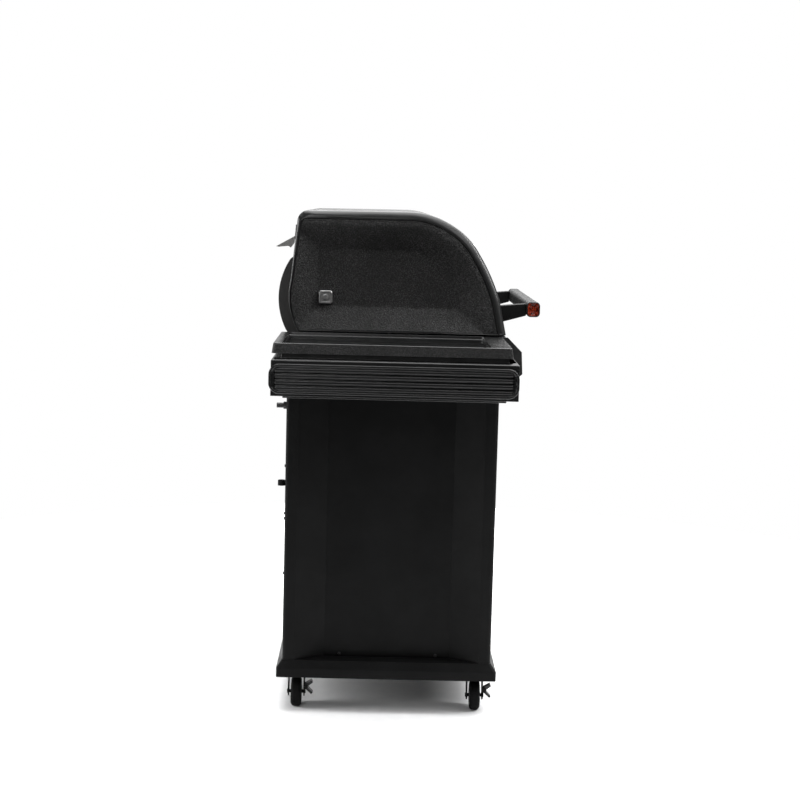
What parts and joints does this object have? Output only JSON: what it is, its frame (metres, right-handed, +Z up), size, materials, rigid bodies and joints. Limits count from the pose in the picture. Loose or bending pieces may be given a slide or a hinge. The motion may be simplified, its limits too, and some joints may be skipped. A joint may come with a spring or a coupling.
{
  "type": "gas barbecue grill",
  "caption": "Gas barbecue on a closed cabinet with casters: hinged curved hood, side shelves with ribbed rails, doors, burners, grates and a grease tray.",
  "frame": {"origin": "centre of the footprint, on the floor under the casters", "axes": "+Z up, -Y towards the cook at the front, +X to the cook's right"},
  "size_m": [1.3, 0.612, 1.175],
  "materials": {
    "satin_black": "satin powder coat",
    "textured_black": "fine wrinkle powder coat",
    "gloss_black": "smooth enamel",
    "handle_enamel": "satin enamel",
    "plain_steel": "plain sheet steel",
    "cast_iron_black": "matt enamel",
    "cast_aluminium": "black coated casting",
    "zinc_plate": "zinc plated steel",
    "brass": "machined",
    "black_plastic": "moulded",
    "chrome": "polished",
    "needle_red": "painted",
    "orange_insert": "translucent moulding",
    "ceramic": "glazed ceramic",
    "rubber": "moulded tread"
  },
  "bodies": {
    "body": {"base_pan": "satin_black", "cabinet_side_left": "satin_black", "cabinet_side_right": "satin_black", "cabinet_back": "satin_black", "support_frame": "satin_black", "screws": "gloss_black", "hinge_pins": "plain_steel", "caster_plates": "satin_black", "cookbox": "cast_aluminium", "rear_duct": "satin_black", "gas_manifold": "zinc_plate", "gas_inlet": "gloss_black", "hose_clip": "satin_black", "gas_valves": "brass", "burner_tubes": "plain_steel", "heat_tents": "plain_steel", "igniters": "ceramic", "cooking_grates": "cast_iron_black", "warming_rack": "plain_steel", "control_panel": "satin_black", "panel_ends": "black_plastic", "knob_bezels": "chrome", "accessory_rails": "satin_black", "shelf_frame_left": "satin_black", "shelf_frame_right": "satin_black", "shelf_tray_left": "textured_black", "shelf_tray_right": "textured_black"},
    "hood": {"hood_cap_left": "textured_black", "hood_cap_right": "textured_black", "hood_shroud": "gloss_black", "hood_lip": "plain_steel", "hinge_covers": "zinc_plate", "handle_bar": "handle_enamel", "handle_arms": "gloss_black", "handle_ends": "orange_insert", "thermometer_case": "chrome"},
    "thermometer_needle": {"thermometer_needle": "needle_red"},
    "door_left": {"door_left": "satin_black", "door_handle_left": "plain_steel"},
    "door_right": {"door_right": "satin_black", "door_handle_right": "plain_steel"},
    "grease_tray": {"grease_tray": "zinc_plate"},
    "valve_stem_left": {"valve_stem_left": "brass"},
    "knob_left": {"knob_left": "black_plastic"},
    "valve_stem_middle": {"valve_stem_middle": "brass"},
    "knob_middle": {"knob_middle": "black_plastic"},
    "valve_stem_right": {"valve_stem_right": "brass"},
    "knob_right": {"knob_right": "black_plastic"},
    "caster_front_left": {"caster_fork_front_left": "satin_black"},
    "wheel_front_left": {"wheel_front_left": "rubber"},
    "brake_front_left": {"brake_pedal_front_left": "gloss_black"},
    "caster_front_right": {"caster_fork_front_right": "satin_black"},
    "wheel_front_right": {"wheel_front_right": "rubber"},
    "brake_front_right": {"brake_pedal_front_right": "gloss_black"},
    "caster_rear_left": {"caster_fork_rear_left": "satin_black"},
    "wheel_rear_left": {"wheel_rear_left": "rubber"},
    "brake_rear_left": {"brake_pedal_rear_left": "gloss_black"},
    "caster_rear_right": {"caster_fork_rear_right": "satin_black"},
    "wheel_rear_right": {"wheel_rear_right": "rubber"},
    "brake_rear_right": {"brake_pedal_rear_right": "gloss_black"}
  },
  "joints": [
    {"name": "hood_hinge", "type": "hinge", "parent": "body", "child": "hood", "pos_m": [0, 0.191, 0.977], "axis": [-1, 0, 0], "range_deg": [0, 85]},
    {"name": "thermometer_needle_turn", "type": "hinge", "parent": "hood", "child": "thermometer_needle", "pos_m": [0, -0.172, 1.062], "axis": [0, 0.8848, -0.4659], "range_deg": [0, 270]},
    {"name": "door_left_hinge", "type": "hinge", "parent": "body", "child": "door_left", "pos_m": [-0.311, -0.205, 0.43], "axis": [0, 0, -1], "range_deg": [0, 110]},
    {"name": "door_right_hinge", "type": "hinge", "parent": "body", "child": "door_right", "pos_m": [0.311, -0.205, 0.43], "axis": [0, 0, 1], "range_deg": [0, 110]},
    {"name": "grease_tray_slide", "type": "slide", "parent": "body", "child": "grease_tray", "axis": [0, -1, 0], "range_m": [0, 0.3]},
    {"name": "knob_left_push", "type": "slide", "parent": "body", "child": "valve_stem_left", "axis": [0, 1, 0], "range_m": [0, 0.003], "stiffness_N_per_m": 900, "springref_m": -0.001},
    {"name": "knob_left_turn", "type": "hinge", "parent": "valve_stem_left", "child": "knob_left", "pos_m": [-0.2, -0.239, 0.845], "axis": [0, -1, 0], "range_deg": [0, 225]},
    {"name": "knob_middle_push", "type": "slide", "parent": "body", "child": "valve_stem_middle", "axis": [0, 1, 0], "range_m": [0, 0.003], "stiffness_N_per_m": 900, "springref_m": -0.001},
    {"name": "knob_middle_turn", "type": "hinge", "parent": "valve_stem_middle", "child": "knob_middle", "pos_m": [0, -0.239, 0.845], "axis": [0, -1, 0], "range_deg": [0, 225]},
    {"name": "knob_right_push", "type": "slide", "parent": "body", "child": "valve_stem_right", "axis": [0, 1, 0], "range_m": [0, 0.003], "stiffness_N_per_m": 900, "springref_m": -0.001},
    {"name": "knob_right_turn", "type": "hinge", "parent": "valve_stem_right", "child": "knob_right", "pos_m": [0.2, -0.239, 0.845], "axis": [0, -1, 0], "range_deg": [0, 225]},
    {"name": "caster_front_left_swivel", "type": "hinge", "parent": "body", "child": "caster_front_left", "pos_m": [-0.27, -0.181, 0.08], "axis": [0, 0, 1], "continuous": true},
    {"name": "wheel_front_left_roll", "type": "hinge", "parent": "caster_front_left", "child": "wheel_front_left", "pos_m": [-0.292, -0.181, 0.035], "axis": [0, 1, 0], "continuous": true},
    {"name": "brake_front_left_rock", "type": "hinge", "parent": "caster_front_left", "child": "brake_front_left", "pos_m": [-0.292, -0.2045, 0.049], "axis": [1, 0, 0], "range_deg": [-8, 8]},
    {"name": "caster_front_right_swivel", "type": "hinge", "parent": "body", "child": "caster_front_right", "pos_m": [0.27, -0.181, 0.08], "axis": [0, 0, 1], "continuous": true},
    {"name": "wheel_front_right_roll", "type": "hinge", "parent": "caster_front_right", "child": "wheel_front_right", "pos_m": [0.248, -0.181, 0.035], "axis": [0, 1, 0], "continuous": true},
    {"name": "brake_front_right_rock", "type": "hinge", "parent": "caster_front_right", "child": "brake_front_right", "pos_m": [0.248, -0.2045, 0.049], "axis": [1, 0, 0], "range_deg": [-8, 8]},
    {"name": "caster_rear_left_swivel", "type": "hinge", "parent": "body", "child": "caster_rear_left", "pos_m": [-0.27, 0.243, 0.08], "axis": [0, 0, 1], "continuous": true},
    {"name": "wheel_rear_left_roll", "type": "hinge", "parent": "caster_rear_left", "child": "wheel_rear_left", "pos_m": [-0.292, 0.243, 0.035], "axis": [0, 1, 0], "continuous": true},
    {"name": "brake_rear_left_rock", "type": "hinge", "parent": "caster_rear_left", "child": "brake_rear_left", "pos_m": [-0.292, 0.2195, 0.049], "axis": [1, 0, 0], "range_deg": [-8, 8]},
    {"name": "caster_rear_right_swivel", "type": "hinge", "parent": "body", "child": "caster_rear_right", "pos_m": [0.27, 0.243, 0.08], "axis": [0, 0, 1], "continuous": true},
    {"name": "wheel_rear_right_roll", "type": "hinge", "parent": "caster_rear_right", "child": "wheel_rear_right", "pos_m": [0.248, 0.243, 0.035], "axis": [0, 1, 0], "continuous": true},
    {"name": "brake_rear_right_rock", "type": "hinge", "parent": "caster_rear_right", "child": "brake_rear_right", "pos_m": [0.248, 0.2195, 0.049], "axis": [1, 0, 0], "range_deg": [-8, 8]}
  ]
}
